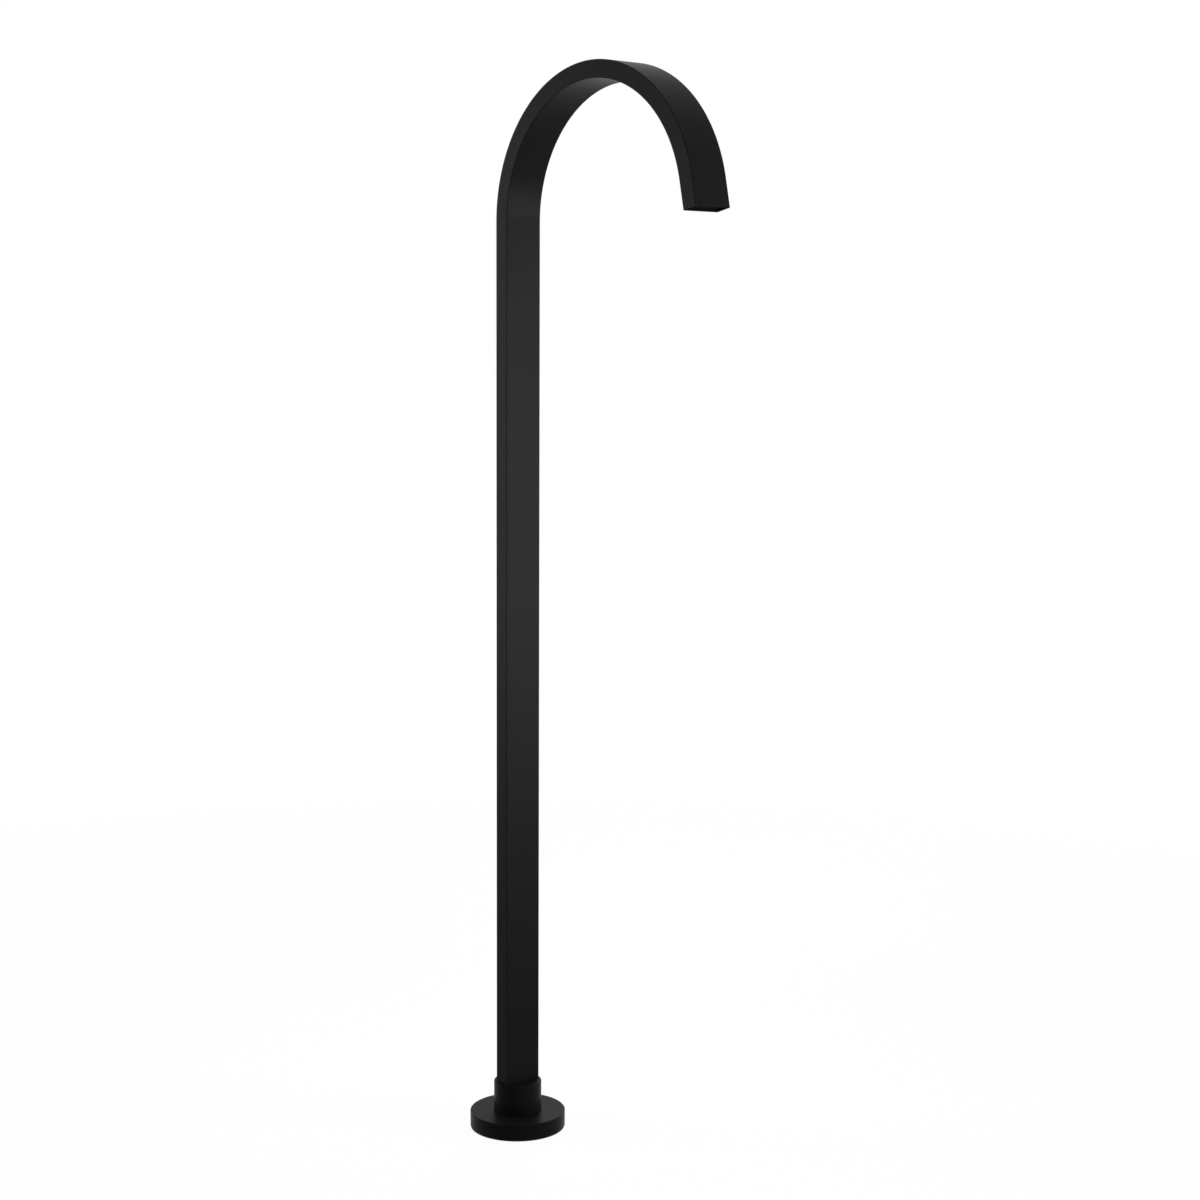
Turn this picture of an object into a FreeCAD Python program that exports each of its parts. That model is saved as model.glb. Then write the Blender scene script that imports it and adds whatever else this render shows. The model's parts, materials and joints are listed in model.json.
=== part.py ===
import FreeCAD
import Part
import os
import re
import Sketcher

# A floor standing bath filler, in millimetres. +Z is up and the origin is on the floor, on the axis of
# the riser. The spout reaches out along +X.
#
# A flat tube rises from a round collar, bends over in one large arc and ends in a short straight
# outlet. The collar turns on a brass spigot, which is screwed into a plate that is bolted to the floor.
# A round cover slides down over the plate. The water enters the spigot from below, runs up through the
# collar and the tube, and leaves through a cartridge with a honeycomb that makes the jet smooth.

SIZES = {
    # the flat tube
    "tube_width": 40.5,  # across its broad faces, along Y
    "tube_depth": 16.5,  # from its front to its back, along X
    "tube_wall": 1.5,
    "tube_corner": 0.8,  # radius of the long outer edges
    "tube_inner_corner": 0.6,
    "bend_level": 888.0,  # height at which the riser ends and the bend begins
    "bend_radius": 129.0,  # of the tube's middle line
    "bend_angle": 168.0,  # in degrees: the outlet stops short of straight down
    "outlet_straight": 26.0,
    # the plate on the floor and its gasket
    "gasket_thickness": 2.0,
    "gasket_opening": 40.0,
    "gasket_margin": 1.0,  # how far the gasket stays inside the plate's edge
    "plate_thickness": 5.0,
    "plate_margin": 5.0,  # room between the plate and the cover's wall
    "plate_chamfer": 0.8,
    "bolt_edge": 8.0,  # from a bolt's centre to the plate's edge
    "bolt_hole": 6.5,
    "bolt_count": 4,
    "bolt_turn": 45.0,  # angle of the first bolt
    "hub_wall": 8.8,
    "hub_height": 3.0,
    # the spigot
    "spigot_thread": 26.4,
    "thread_clearance": 0.05,
    "hex_step": 2.0,  # how much wider the hexagon is than the barrel
    "hex_height": 4.0,
    "barrel_diameter": 30.0,
    "barrel_chamfer": 0.6,
    "waterway_diameter": 15.0,
    "inlet_thread": 18.63,
    "inlet_length": 12.0,
    "relief_depth": 1.3,
    "relief_length": 2.5,
    "screw_rise": 4.5,  # from the bearing face to the locking screw
    "screw_groove_depth": 1.4,
    "screw_groove_floor": 1.8,
    "groove_land": 1.1,  # metal left between neighbouring grooves
    # rings and washers of the swivel
    "swivel_clearance": 0.05,
    "thrust_thickness": 1.5,
    "thrust_clearance": 0.2,
    "thrust_margin": 1.2,  # room between the washer's rim and the collar
    "swivel_ring": 2.4,  # thickness of the two rubber rings
    "ring_side_gap": 0.2,
    "ring_gap": 0.06,
    "guide_height": 2.2,
    "guide_depth": 1.0,
    "guide_clearance": 0.03,
    # washer and sieve in the inlet
    "inlet_washer_thickness": 1.6,
    "inlet_washer_width": 3.4,
    "inlet_washer_clearance": 0.2,
    "sieve_thickness": 0.4,
    "sieve_hole": 1.6,
    "sieve_pitch": 2.4,
    # the collar
    "collar_wall": 1.6,
    "collar_foot_gap": 0.5,
    "counterbore_clearance": 0.7,
    "septum_gap": 0.5,
    "septum_thickness": 2.0,
    "septum_land": 2.0,
    "socket_depth": 10.0,
    "braze_gap": 0.05,
    "collar_rim_radius": 1.6,
    "collar_foot_chamfer": 0.5,
    # the locking screw
    "screw_diameter": 5.0,
    "screw_recess": 1.34,  # how far its head lies under the collar's face
    "screw_tip": 1.4,
    "screw_tip_gap": 0.3,
    "screw_clearance": 0.05,
    "screw_chamfer": 0.4,
    "key_width": 2.5,
    "key_depth": 3.0,
    # the cover and its seals
    "cover_diameter": 94.0,
    "cover_height": 15.5,
    "cover_wall": 3.0,
    "cover_top": 4.5,
    "cover_clearance": 0.3,
    "cover_edge_radius": 0.8,
    "cover_bore_chamfer": 0.4,
    "cover_ring": 2.0,
    "cover_ring_gap": 0.1,
    "seal_thickness": 1.0,
    "seal_inset": 0.4,
    "tongue_width": 1.2,
    "tongue_height": 1.2,
    "tongue_gap": 0.1,
    # the outlet frame and the cartridge in it
    "frame_recess": 0.4,
    "frame_length": 16.0,
    "frame_wall": 1.1,
    "frame_lip": 1.2,
    "frame_lip_height": 3.4,
    "cartridge_clearance": 0.1,
    "cartridge_recess": 1.5,
    "cartridge_length": 10.0,
    "cartridge_wall": 0.9,
    "cartridge_lip": 0.5,
    "cartridge_lip_height": 0.8,
    "cartridge_corner": 0.8,
    "core_clearance": 0.05,
    "core_depth": 6.0,
    "core_border": 0.5,
    "cell_width": 1.8,
    "cell_web": 0.4,
    "screen_thickness": 0.5,
    "screen_hole": 1.4,
    "screen_web": 0.8,
    "cartridge_seal_width": 1.5,
    "cartridge_seal_gap": 0.1,
}

# What follows from the sizes. Heights are above the floor, radii are from the riser's axis.
DERIVED = {
    # stack of the base
    "plate_top": "gasket_thickness + plate_thickness",
    "hub_top": "plate_top + hub_height",
    "hex_top": "hub_top + hex_height",
    "bearing_level": "hex_top + thrust_thickness",
    "screw_level": "bearing_level + screw_rise",
    "screw_groove_half": "screw_groove_floor / 2 + screw_groove_depth",
    "ring_groove_width": "swivel_ring + 2 * ring_side_gap",
    "lower_ring_level": "screw_level + screw_groove_half + groove_land + ring_groove_width / 2",
    "upper_ring_level": "lower_ring_level + ring_groove_width + groove_land",
    "guide_level": "upper_ring_level + ring_groove_width / 2 + groove_land",
    "barrel_top": "guide_level + guide_height + groove_land",
    "inlet_top": "gasket_thickness + inlet_length",
    "relief_top": "inlet_top + relief_length",
    # stack of the collar
    "collar_foot": "hub_top + collar_foot_gap",
    "septum_level": "barrel_top + septum_gap",
    "socket_floor": "septum_level + septum_thickness",
    "collar_top": "socket_floor + socket_depth",
    # radii
    "plate_radius": "cover_diameter / 2 - cover_wall - plate_margin",
    "bolt_circle_radius": "plate_radius - bolt_edge",
    "spigot_thread_radius": "spigot_thread / 2",
    "hub_radius": "spigot_thread_radius + hub_wall",
    "barrel_radius": "barrel_diameter / 2",
    "hex_width": "barrel_diameter + hex_step",
    "hex_corner_radius": "hex_width / (2 * cos(30))",
    "collar_bore_radius": "barrel_radius + swivel_clearance",
    "counterbore_radius": "hex_corner_radius + counterbore_clearance",
    "tube_corner_reach": "sqrt(tube_width * tube_width + tube_depth * tube_depth) / 2",
    "collar_radius": "max(tube_corner_reach; counterbore_radius) + collar_wall",
    "swivel_ring_radius": "collar_bore_radius - ring_gap - swivel_ring / 2",
    "ring_groove_radius": "swivel_ring_radius - swivel_ring / 2 - ring_gap",
    "guide_groove_radius": "barrel_radius - guide_depth",
    "screw_groove_radius": "barrel_radius - screw_groove_depth",
    "screw_tip_radius": "screw_groove_radius + screw_tip_gap",
    "screw_length": "collar_radius - screw_recess - screw_tip_radius",
    "relief_radius": "inlet_thread / 2 + relief_depth",
    "inlet_washer_radius": "relief_radius - inlet_washer_clearance",
    "sieve_level": "relief_top - sieve_thickness",
    "sieve_room": "inlet_washer_radius - inlet_washer_width - sieve_hole / 2",
    "sieve_rings": "floor(sieve_room / sieve_pitch)",
    "cover_radius": "cover_diameter / 2",
    "cover_inner_radius": "cover_radius - cover_wall",
    "cover_bore_radius": "collar_radius + cover_clearance",
    "cover_level": "seal_thickness + cover_height",
    "cover_ceiling": "cover_level - cover_top",
    "cover_ring_radius": "collar_radius + cover_ring_gap + cover_ring / 2",
    "cover_ring_level": "cover_level - cover_top / 2",
    "seal_middle_radius": "cover_radius - cover_wall / 2",
    # the tube and what sits in its outlet
    "tube_bore_width": "tube_width - 2 * tube_wall",
    "tube_bore_depth": "tube_depth - 2 * tube_wall",
    "outlet_x": "bend_radius * (1 - cos(bend_angle)) + outlet_straight * sin(bend_angle)",
    "outlet_z": "bend_level + bend_radius * sin(bend_angle) + outlet_straight * cos(bend_angle)",
    "frame_inset": "2 * (braze_gap + frame_wall)",
    "housing_inset": "frame_inset + 2 * cartridge_clearance",
    "housing_bore_inset": "housing_inset + 2 * cartridge_wall",
    "core_inset": "housing_bore_inset + 2 * core_clearance",
    "frame_top": "frame_recess + frame_length",
    "frame_shoulder": "frame_top - frame_lip_height",
    "core_floor": "cartridge_recess + cartridge_lip_height",
    "screen_floor": "core_floor + core_depth",
    "housing_top": "cartridge_recess + cartridge_length",
    "core_width": "tube_bore_width - core_inset",
    "core_thickness": "tube_bore_depth - core_inset",
    # the honeycomb: cells in staggered rows, with as many rows and cells as the core has room for
    "cell_pitch": "cell_width + cell_web",
    "cell_corner_radius": "cell_width / (2 * cos(30))",
    "row_pitch": "cell_pitch * cos(30)",
    "row_room": "core_thickness / 2 - core_border - cell_corner_radius",
    "side_rows": "floor(row_room / row_pitch)",
    "even_rows": "1 + 2 * floor(side_rows / 2)",
    "odd_rows": "2 * floor((side_rows + 1) / 2)",
    "cells_in_row": "1 + floor((core_width - 2 * core_border - cell_width) / cell_pitch)",
    # the flow screen: a grid of square holes
    "screen_pitch": "screen_hole + screen_web",
    "screen_columns": "1 + floor((core_width - 2 * core_border - screen_hole) / screen_pitch)",
    "screen_rows": "1 + floor((core_thickness - 2 * core_border - screen_hole) / screen_pitch)",
}

HEXAGON = 6
FULL_TURN = 360.0
HALF_TURN = FULL_TURN / 2
QUARTER_TURN = FULL_TURN / 4
SHEET_NAME = "Sizes"
LEAST_CHANGE = 1e-6  # volume in cubic millimetres
SAME_PLACE = 1e-4

doc = FreeCAD.newDocument("BathFiller")
sheet = doc.addObject("Spreadsheet::Sheet", SHEET_NAME)
nodes = []


def write_sheet():
    """Put every driving size in its own named cell."""
    for row, (name, number) in enumerate(SIZES.items(), start=1):
        sheet.set(f"A{row}", name)
        sheet.set(f"B{row}", str(number))
        sheet.setAlias(f"B{row}", name)
    doc.recompute()


def formula(text):
    """Turn a formula of plain names into one that reads the sheet's cells."""

    def swap(match):
        word = match.group(0)
        if word in SIZES:
            return f"{SHEET_NAME}.{word}"
        if word in DERIVED:
            return f"({formula(DERIVED[word])})"
        return word

    return re.sub(r"[A-Za-z_]\w*", swap, text)


def value(text):
    return float(sheet.evalExpression(formula(text)))


def count(text):
    return int(round(value(text)))


def radians(degrees):
    return FreeCAD.Units.Quantity(f"{degrees} deg").getValueAs("rad").Value


def bind(thing, property_name, text):
    thing.setExpression(property_name, formula(text))


# Sketching


def sketch_on(body, name, role, level="0"):
    """Start a sketch on one of the body's own planes, at a height above it."""
    sketch = body.newObject("Sketcher::SketchObject", name)
    plane = [feature for feature in body.Origin.OriginFeatures if feature.Role == role][0]
    sketch.AttachmentSupport = [(plane, "")]
    sketch.MapMode = "FlatFace"
    bind(sketch, "AttachmentOffset.Base.z", level)
    return sketch


def constrain(sketch, *terms):
    return sketch.addConstraint(Sketcher.Constraint(*terms))


def tie(sketch, kind, *place, to):
    """Add a measured constraint and bind its number to a formula."""
    index = constrain(sketch, kind, *place, value(to))
    bind(sketch, f"Constraints[{index}]", to)


def tie_point(sketch, edge, point, across, up):
    tie(sketch, "DistanceX", -1, 1, edge, point, to=across)
    tie(sketch, "DistanceY", -1, 1, edge, point, to=up)


def polygon(sketch, corners):
    """Draw a closed polygon. Each corner is a pair of formulas."""
    points = [FreeCAD.Vector(value(across), value(up), 0) for across, up in corners]
    first = sketch.GeometryCount
    for start, end in zip(points, points[1:] + points[:1]):
        sketch.addGeometry(Part.LineSegment(start, end), False)
    for step in range(len(corners)):
        following = (step + 1) % len(corners)
        constrain(sketch, "Coincident", first + step, 2, first + following, 1)
    for step, (across, up) in enumerate(corners):
        tie_point(sketch, first + step, 1, across, up)


def rectangle(sketch, low_x, low_y, high_x, high_y):
    polygon(sketch, [(low_x, low_y), (high_x, low_y), (high_x, high_y), (low_x, high_y)])


def hexagon(sketch, centre_x, centre_y, corner_radius):
    """Draw a hexagon with two flats across Y."""
    corners = []
    for corner in range(HEXAGON):
        angle = corner * FULL_TURN / HEXAGON
        across = f"{centre_x} + {corner_radius} * cos({angle})"
        up = f"{centre_y} + {corner_radius} * sin({angle})"
        corners.append((across, up))
    polygon(sketch, corners)


def circle(sketch, radius, centre_x="0", centre_y="0"):
    centre = FreeCAD.Vector(value(centre_x), value(centre_y), 0)
    normal = FreeCAD.Vector(0, 0, 1)
    index = sketch.addGeometry(Part.Circle(centre, normal, value(radius)), False)
    tie_point(sketch, index, 3, centre_x, centre_y)
    tie(sketch, "Radius", index, to=radius)


def rounded_rectangle(sketch, depth, width, corner):
    """Draw a rectangle with round corners about the origin: depth along X and width along Y."""
    half_x = value(depth) / 2
    half_y = value(width) / 2
    radius = value(corner)
    normal = FreeCAD.Vector(0, 0, 1)
    signs = [(1, -1), (1, 1), (-1, 1), (-1, -1)]
    arcs = []
    for step, (sign_x, sign_y) in enumerate(signs):
        centre = FreeCAD.Vector(sign_x * (half_x - radius), sign_y * (half_y - radius), 0)
        span = [radians(QUARTER_TURN * (step - 1)), radians(QUARTER_TURN * step)]
        arc = Part.ArcOfCircle(Part.Circle(centre, normal, radius), *span)
        arcs.append(sketch.addGeometry(arc, False))
    sides = []
    for step, arc in enumerate(arcs):
        following = arcs[(step + 1) % len(arcs)]
        start = sketch.getPoint(arc, 2)
        end = sketch.getPoint(following, 1)
        sides.append(sketch.addGeometry(Part.LineSegment(start, end), False))
    for step, side in enumerate(sides):
        constrain(sketch, "Tangent", arcs[step], 2, side, 1)
        constrain(sketch, "Tangent", side, 2, arcs[(step + 1) % len(arcs)], 1)
        constrain(sketch, "Horizontal" if step % 2 else "Vertical", side)
    for arc in arcs[1:]:
        constrain(sketch, "Equal", arcs[0], arc)
    right, top, left, bottom = sides
    constrain(sketch, "Symmetric", right, 1, left, 1, -1, 1)
    tie(sketch, "Radius", arcs[0], to=corner)
    tie(sketch, "DistanceX", left, 1, right, 1, to=depth)
    tie(sketch, "DistanceY", bottom, 1, top, 1, to=width)


# Making and finishing features


def new_body(name):
    body = doc.addObject("PartDesign::Body", f"{name}_body")
    return named(body, name)


def named(piece, name):
    """Give a sub-part its name and list it for writing."""
    piece.Label = name
    nodes.append(piece)
    return piece


def settle(body, feature, volume_before, removes):
    """Rebuild, and stop if the feature changed the solid the wrong way or not at all."""
    body.Tip = feature
    doc.recompute()
    change = feature.Shape.Volume - volume_before
    if removes:
        change = -change
    if change < LEAST_CHANGE:
        raise RuntimeError(f"{feature.Label} changed nothing")
    return feature


def volume_of(body):
    return body.Tip.Shape.Volume if body.Tip else 0.0


def turn(body, name, corners, removes=False):
    """Revolve a profile about the vertical axis. Corners are pairs of radius and height."""
    before = volume_of(body)
    sketch = sketch_on(body, f"{name}_profile", "XZ_Plane")
    polygon(sketch, corners)
    kind = "PartDesign::Groove" if removes else "PartDesign::Revolution"
    feature = body.newObject(kind, name)
    feature.Profile = sketch
    feature.ReferenceAxis = (sketch, ["V_Axis"])
    feature.Angle = FULL_TURN
    return settle(body, feature, before, removes)


def pad(body, name, draw, level, height):
    """Raise a drawn outline from a level."""
    before = volume_of(body)
    sketch = sketch_on(body, f"{name}_outline", "XY_Plane", level)
    draw(sketch)
    feature = body.newObject("PartDesign::Pad", name)
    feature.Profile = sketch
    bind(feature, "Length", height)
    return settle(body, feature, before, removes=False)


def pocket(body, name, draw, level, depth, role="XY_Plane"):
    """Cut a drawn outline down from a level."""
    before = volume_of(body)
    sketch = sketch_on(body, f"{name}_outline", role, level)
    draw(sketch)
    feature = body.newObject("PartDesign::Pocket", name)
    feature.Profile = sketch
    bind(feature, "Length", depth)
    return settle(body, feature, before, removes=True)


def polar_pattern(body, name, original, copies):
    before = volume_of(body)
    pattern = body.newObject("PartDesign::PolarPattern", name)
    pattern.Originals = [original]
    pattern.Axis = (original.Profile[0], ["N_Axis"])
    pattern.Angle = FULL_TURN
    bind(pattern, "Occurrences", copies)
    return settle(body, pattern, before, removes=True)


def grid_pattern(body, name, original, columns, column_pitch, rows, row_pitch):
    """Repeat a cut over a grid: columns along Y and rows along X."""
    before = volume_of(body)
    profile = original.Profile[0]
    grid = body.newObject("PartDesign::MultiTransform", name)
    grid.Originals = [original]
    steps = []
    for axis, copies, pitch in (("V_Axis", columns, column_pitch), ("H_Axis", rows, row_pitch)):
        if count(copies) > 1:
            step = body.newObject("PartDesign::LinearPattern", f"{name}_{axis}")
            step.Direction = (profile, [axis])
            bind(step, "Occurrences", copies)
            bind(step, "Length", f"({copies} - 1) * {pitch}")
            steps.append(step)
    grid.Transformations = steps
    return settle(body, grid, before, removes=True)


def edges_where(shape, test):
    return [f"Edge{number}" for number, edge in enumerate(shape.Edges, start=1) if test(edge)]


def is_ring(edge, radius, level):
    """Whether an edge is a full circle of this radius at this height."""
    round_edge = hasattr(edge.Curve, "Radius") and edge.isClosed()
    if not round_edge:
        return False
    same_radius = abs(edge.Curve.Radius - value(radius)) < SAME_PLACE
    return same_radius and abs(edge.Curve.Center.z - value(level)) < SAME_PLACE


def dress_ring(body, name, kind, radius, level, size):
    """Round or chamfer one circular edge."""
    before = volume_of(body)
    base = body.Tip
    names = edges_where(base.Shape, lambda edge: is_ring(edge, radius, level))
    feature = body.newObject(f"PartDesign::{kind}", name)
    feature.Base = (base, names)
    bind(feature, "Radius" if kind == "Fillet" else "Size", size)
    return settle(body, feature, before, removes=True)


def washer(name, outer_radius, inner_radius, level, height):
    """A plain flat ring."""
    body = new_body(name)

    def outline(sketch):
        circle(sketch, outer_radius)
        circle(sketch, inner_radius)

    pad(body, "ring", outline, level, height)
    return body


def ring(name, radius, thickness, level):
    """A rubber ring of round section."""
    torus = named(doc.addObject("Part::Torus", f"{name}_torus"), name)
    bind(torus, "Radius1", radius)
    bind(torus, "Radius2", f"{thickness} / 2")
    bind(torus, "Placement.Base.z", level)
    return torus


# The base: what is fixed to the floor


def bolt_holes(body, level, depth):
    def outline(sketch):
        place = [f"bolt_circle_radius * {turn_of}(bolt_turn)" for turn_of in ("cos", "sin")]
        circle(sketch, "bolt_hole / 2", *place)

    first = pocket(body, "bolt_hole", outline, level, depth)
    polar_pattern(body, "bolt_holes", first, "bolt_count")


def make_floor_gasket():
    body = washer(
        "floor_gasket", "plate_radius - gasket_margin", "gasket_opening / 2", "0", "gasket_thickness"
    )
    bolt_holes(body, "gasket_thickness", "gasket_thickness")


def make_floor_plate():
    """A disc with a raised hub, a threaded hole in its middle and a ring of bolt holes."""
    body = new_body("floor_plate")
    bore = "spigot_thread_radius + thread_clearance"
    turn(
        body,
        "disc_and_hub",
        [
            (bore, "gasket_thickness"),
            ("plate_radius", "gasket_thickness"),
            ("plate_radius", "plate_top"),
            ("hub_radius", "plate_top"),
            ("hub_radius", "hub_top"),
            (bore, "hub_top"),
        ],
    )
    bolt_holes(body, "plate_top", "plate_thickness")
    dress_ring(body, "edge", "Chamfer", "plate_radius", "plate_top", "plate_chamfer")


def make_spigot():
    """A turned brass piece: thread, hexagon and the grooved barrel on which the collar turns."""
    body = new_body("spigot")
    turn(
        body,
        "shaft",
        [
            ("0", "gasket_thickness"),
            ("spigot_thread_radius", "gasket_thickness"),
            ("spigot_thread_radius", "hex_top"),
            ("barrel_radius", "hex_top"),
            ("barrel_radius", "barrel_top"),
            ("0", "barrel_top"),
        ],
    )
    pad(
        body,
        "hexagon",
        lambda sketch: hexagon(sketch, "0", "0", "hex_corner_radius"),
        "hub_top",
        "hex_height",
    )
    turn(
        body,
        "waterway",
        [
            ("0", "gasket_thickness"),
            ("inlet_thread / 2", "gasket_thickness"),
            ("inlet_thread / 2", "inlet_top"),
            ("relief_radius", "inlet_top"),
            ("relief_radius", "relief_top"),
            ("waterway_diameter / 2", "relief_top"),
            ("waterway_diameter / 2", "barrel_top"),
            ("0", "barrel_top"),
        ],
        removes=True,
    )
    turn(
        body,
        "screw_groove",
        [
            ("screw_groove_radius", "screw_level - screw_groove_floor / 2"),
            ("barrel_radius", "screw_level - screw_groove_half"),
            ("barrel_radius + groove_land", "screw_level - screw_groove_half"),
            ("barrel_radius + groove_land", "screw_level + screw_groove_half"),
            ("barrel_radius", "screw_level + screw_groove_half"),
            ("screw_groove_radius", "screw_level + screw_groove_floor / 2"),
        ],
        removes=True,
    )
    for name, floor, low, high in (
        ("lower_groove", "ring_groove_radius", *around("lower_ring_level", "ring_groove_width")),
        ("upper_groove", "ring_groove_radius", *around("upper_ring_level", "ring_groove_width")),
        ("guide_groove", "guide_groove_radius", "guide_level", "guide_level + guide_height"),
    ):
        outside = "barrel_radius + groove_land"
        corners = [(floor, low), (outside, low), (outside, high), (floor, high)]
        turn(body, name, corners, removes=True)
    dress_ring(body, "lead_in", "Chamfer", "barrel_radius", "barrel_top", "barrel_chamfer")


def around(middle, width):
    """Both ends of a span about its middle."""
    return f"{middle} - {width} / 2", f"{middle} + {width} / 2"


def make_swivel_rings():
    washer(
        "thrust_washer",
        "counterbore_radius - thrust_margin",
        "barrel_radius + thrust_clearance",
        "hex_top",
        "thrust_thickness",
    )
    for name, level in (("lower_o_ring", "lower_ring_level"), ("upper_o_ring", "upper_ring_level")):
        ring(name, "swivel_ring_radius", "swivel_ring", level)
    washer(
        "guide_ring",
        "collar_bore_radius - guide_clearance",
        "guide_groove_radius + guide_clearance",
        "guide_level + ring_gap",
        "guide_height - 2 * ring_gap",
    )


def sieve_hole(body, name, centre_x):
    corner_radius = "sieve_hole / (2 * cos(30))"
    return pocket(
        body,
        name,
        lambda sketch: hexagon(sketch, centre_x, "0", corner_radius),
        "relief_top",
        "sieve_thickness",
    )


def make_inlet_pieces():
    """A rubber washer and, clamped above it, a round sieve with rings of six-sided holes."""
    washer(
        "inlet_washer",
        "inlet_washer_radius",
        "inlet_washer_radius - inlet_washer_width",
        "sieve_level - inlet_washer_thickness",
        "inlet_washer_thickness",
    )
    body = new_body("inlet_sieve")
    pad(
        body,
        "disc",
        lambda sketch: circle(sketch, "inlet_washer_radius"),
        "sieve_level",
        "sieve_thickness",
    )
    sieve_hole(body, "middle_hole", "0")
    for step in range(1, 1 + count("sieve_rings")):
        first = sieve_hole(body, f"hole_{step}", f"{step} * sieve_pitch")
        polar_pattern(body, f"holes_{step}", first, f"{step} * {HEXAGON}")


# The standpipe: what turns on the spigot


def make_base_collar():
    """A round collar: bored for the spigot below, with a flat socket for the tube above."""
    body = new_body("base_collar")
    turn(
        body,
        "turned_form",
        [
            ("counterbore_radius", "collar_foot"),
            ("collar_radius", "collar_foot"),
            ("collar_radius", "collar_top"),
            ("0", "collar_top"),
            ("0", "septum_level"),
            ("collar_bore_radius", "septum_level"),
            ("collar_bore_radius", "bearing_level"),
            ("counterbore_radius", "bearing_level"),
        ],
    )

    def socket(sketch):
        depth = "tube_depth + 2 * braze_gap"
        width = "tube_width + 2 * braze_gap"
        rounded_rectangle(sketch, depth, width, "tube_corner")

    def slot(sketch):
        width = "2 * (collar_bore_radius - septum_land)"
        rounded_rectangle(sketch, "tube_bore_depth", width, "tube_corner")

    pocket(body, "tube_socket", socket, "collar_top", "socket_depth")
    pocket(body, "water_slot", slot, "socket_floor", "septum_thickness")
    pocket(
        body,
        "screw_hole",
        lambda sketch: circle(sketch, "screw_diameter / 2 + screw_clearance", "0", "screw_level"),
        "0",
        "collar_radius",
        role="YZ_Plane",
    )
    dress_ring(body, "rim", "Fillet", "collar_radius", "collar_top", "collar_rim_radius")
    dress_ring(body, "foot", "Chamfer", "collar_radius", "collar_foot", "collar_foot_chamfer")


def make_locking_screw():
    """A headless screw at the back of the collar. Its cone keeps the collar on the spigot."""
    body = new_body("locking_screw")
    cone = "screw_diameter / 2 - screw_tip / 2"
    turn(
        body,
        "shank",
        [
            ("0", "0"),
            ("screw_tip / 2", "0"),
            ("screw_diameter / 2", cone),
            ("screw_diameter / 2", "screw_length - screw_chamfer"),
            ("screw_diameter / 2 - screw_chamfer", "screw_length"),
            ("0", "screw_length"),
        ],
    )
    pocket(
        body,
        "key_socket",
        lambda sketch: hexagon(sketch, "0", "0", "key_width / (2 * cos(30))"),
        "screw_length",
        "key_depth",
    )
    body.Placement.Rotation.Axis = FreeCAD.Vector(0, 1, 0)
    body.Placement.Rotation.Angle = radians(-QUARTER_TURN)
    bind(body, "Placement.Base.x", "0 - screw_tip_radius")
    bind(body, "Placement.Base.z", "screw_level")


def spine(body):
    """The tube's middle line: straight riser, one arc, straight outlet."""
    sketch = sketch_on(body, "middle_line", "XZ_Plane")
    radius = value("bend_radius")
    level = value("bend_level")
    foot = FreeCAD.Vector(0, value("socket_floor"), 0)
    top = FreeCAD.Vector(0, level, 0)
    centre = FreeCAD.Vector(radius, level, 0)
    end_angle = radians(HALF_TURN)
    start_angle = radians(HALF_TURN - value("bend_angle"))
    bend_circle = Part.Circle(centre, FreeCAD.Vector(0, 0, 1), radius)
    riser = sketch.addGeometry(Part.LineSegment(foot, top), False)
    bend = sketch.addGeometry(Part.ArcOfCircle(bend_circle, start_angle, end_angle), False)
    bend_end = sketch.getPoint(bend, 1)
    outlet_end = FreeCAD.Vector(value("outlet_x"), value("outlet_z"), 0)
    outlet = sketch.addGeometry(Part.LineSegment(bend_end, outlet_end), False)
    constrain(sketch, "PointOnObject", riser, 1, -2)
    constrain(sketch, "Vertical", riser)
    constrain(sketch, "Tangent", riser, 2, bend, 2)
    constrain(sketch, "Tangent", bend, 1, outlet, 1)
    tie(sketch, "DistanceY", -1, 1, riser, 1, to="socket_floor")
    tie(sketch, "DistanceY", -1, 1, riser, 2, to="bend_level")
    tie(sketch, "Radius", bend, to="bend_radius")
    tie(sketch, "Distance", outlet, to="outlet_straight")
    turned = constrain(sketch, "Angle", bend, end_angle - start_angle)
    bind(sketch, f"Constraints[{turned}]", "bend_angle * 1 deg")
    return sketch


def make_spout_tube():
    """The flat tube, swept along its middle line and then hollowed along the same line."""
    body = new_body("spout_tube")
    path = spine(body)
    outer = ("tube_depth", "tube_width", "tube_corner")
    inner = ("tube_bore_depth", "tube_bore_width", "tube_inner_corner")
    for name, kind, outline in (("skin", "AdditivePipe", outer), ("bore", "SubtractivePipe", inner)):
        before = volume_of(body)
        section = sketch_on(body, f"{name}_section", "XY_Plane", "socket_floor")
        rounded_rectangle(section, *outline)
        sweep = body.newObject(f"PartDesign::{kind}", name)
        sweep.Profile = section
        sweep.Spine = path
        settle(body, sweep, before, removes=kind == "SubtractivePipe")


# The outlet: these pieces are drawn upright about the middle of the tube's end and then placed there


def place_at_outlet(body):
    body.Placement.Rotation.Axis = FreeCAD.Vector(0, 1, 0)
    bind(body, "Placement.Rotation.Angle", f"bend_angle - {HALF_TURN}")
    bind(body, "Placement.Base.x", "outlet_x")
    bind(body, "Placement.Base.z", "outlet_z")


def inset_outline(inset, corner="cartridge_corner"):
    """The tube's bore, made smaller by an inset."""
    depth = f"tube_bore_depth - ({inset})"
    width = f"tube_bore_width - ({inset})"
    return lambda sketch: rounded_rectangle(sketch, depth, width, corner)


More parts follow.
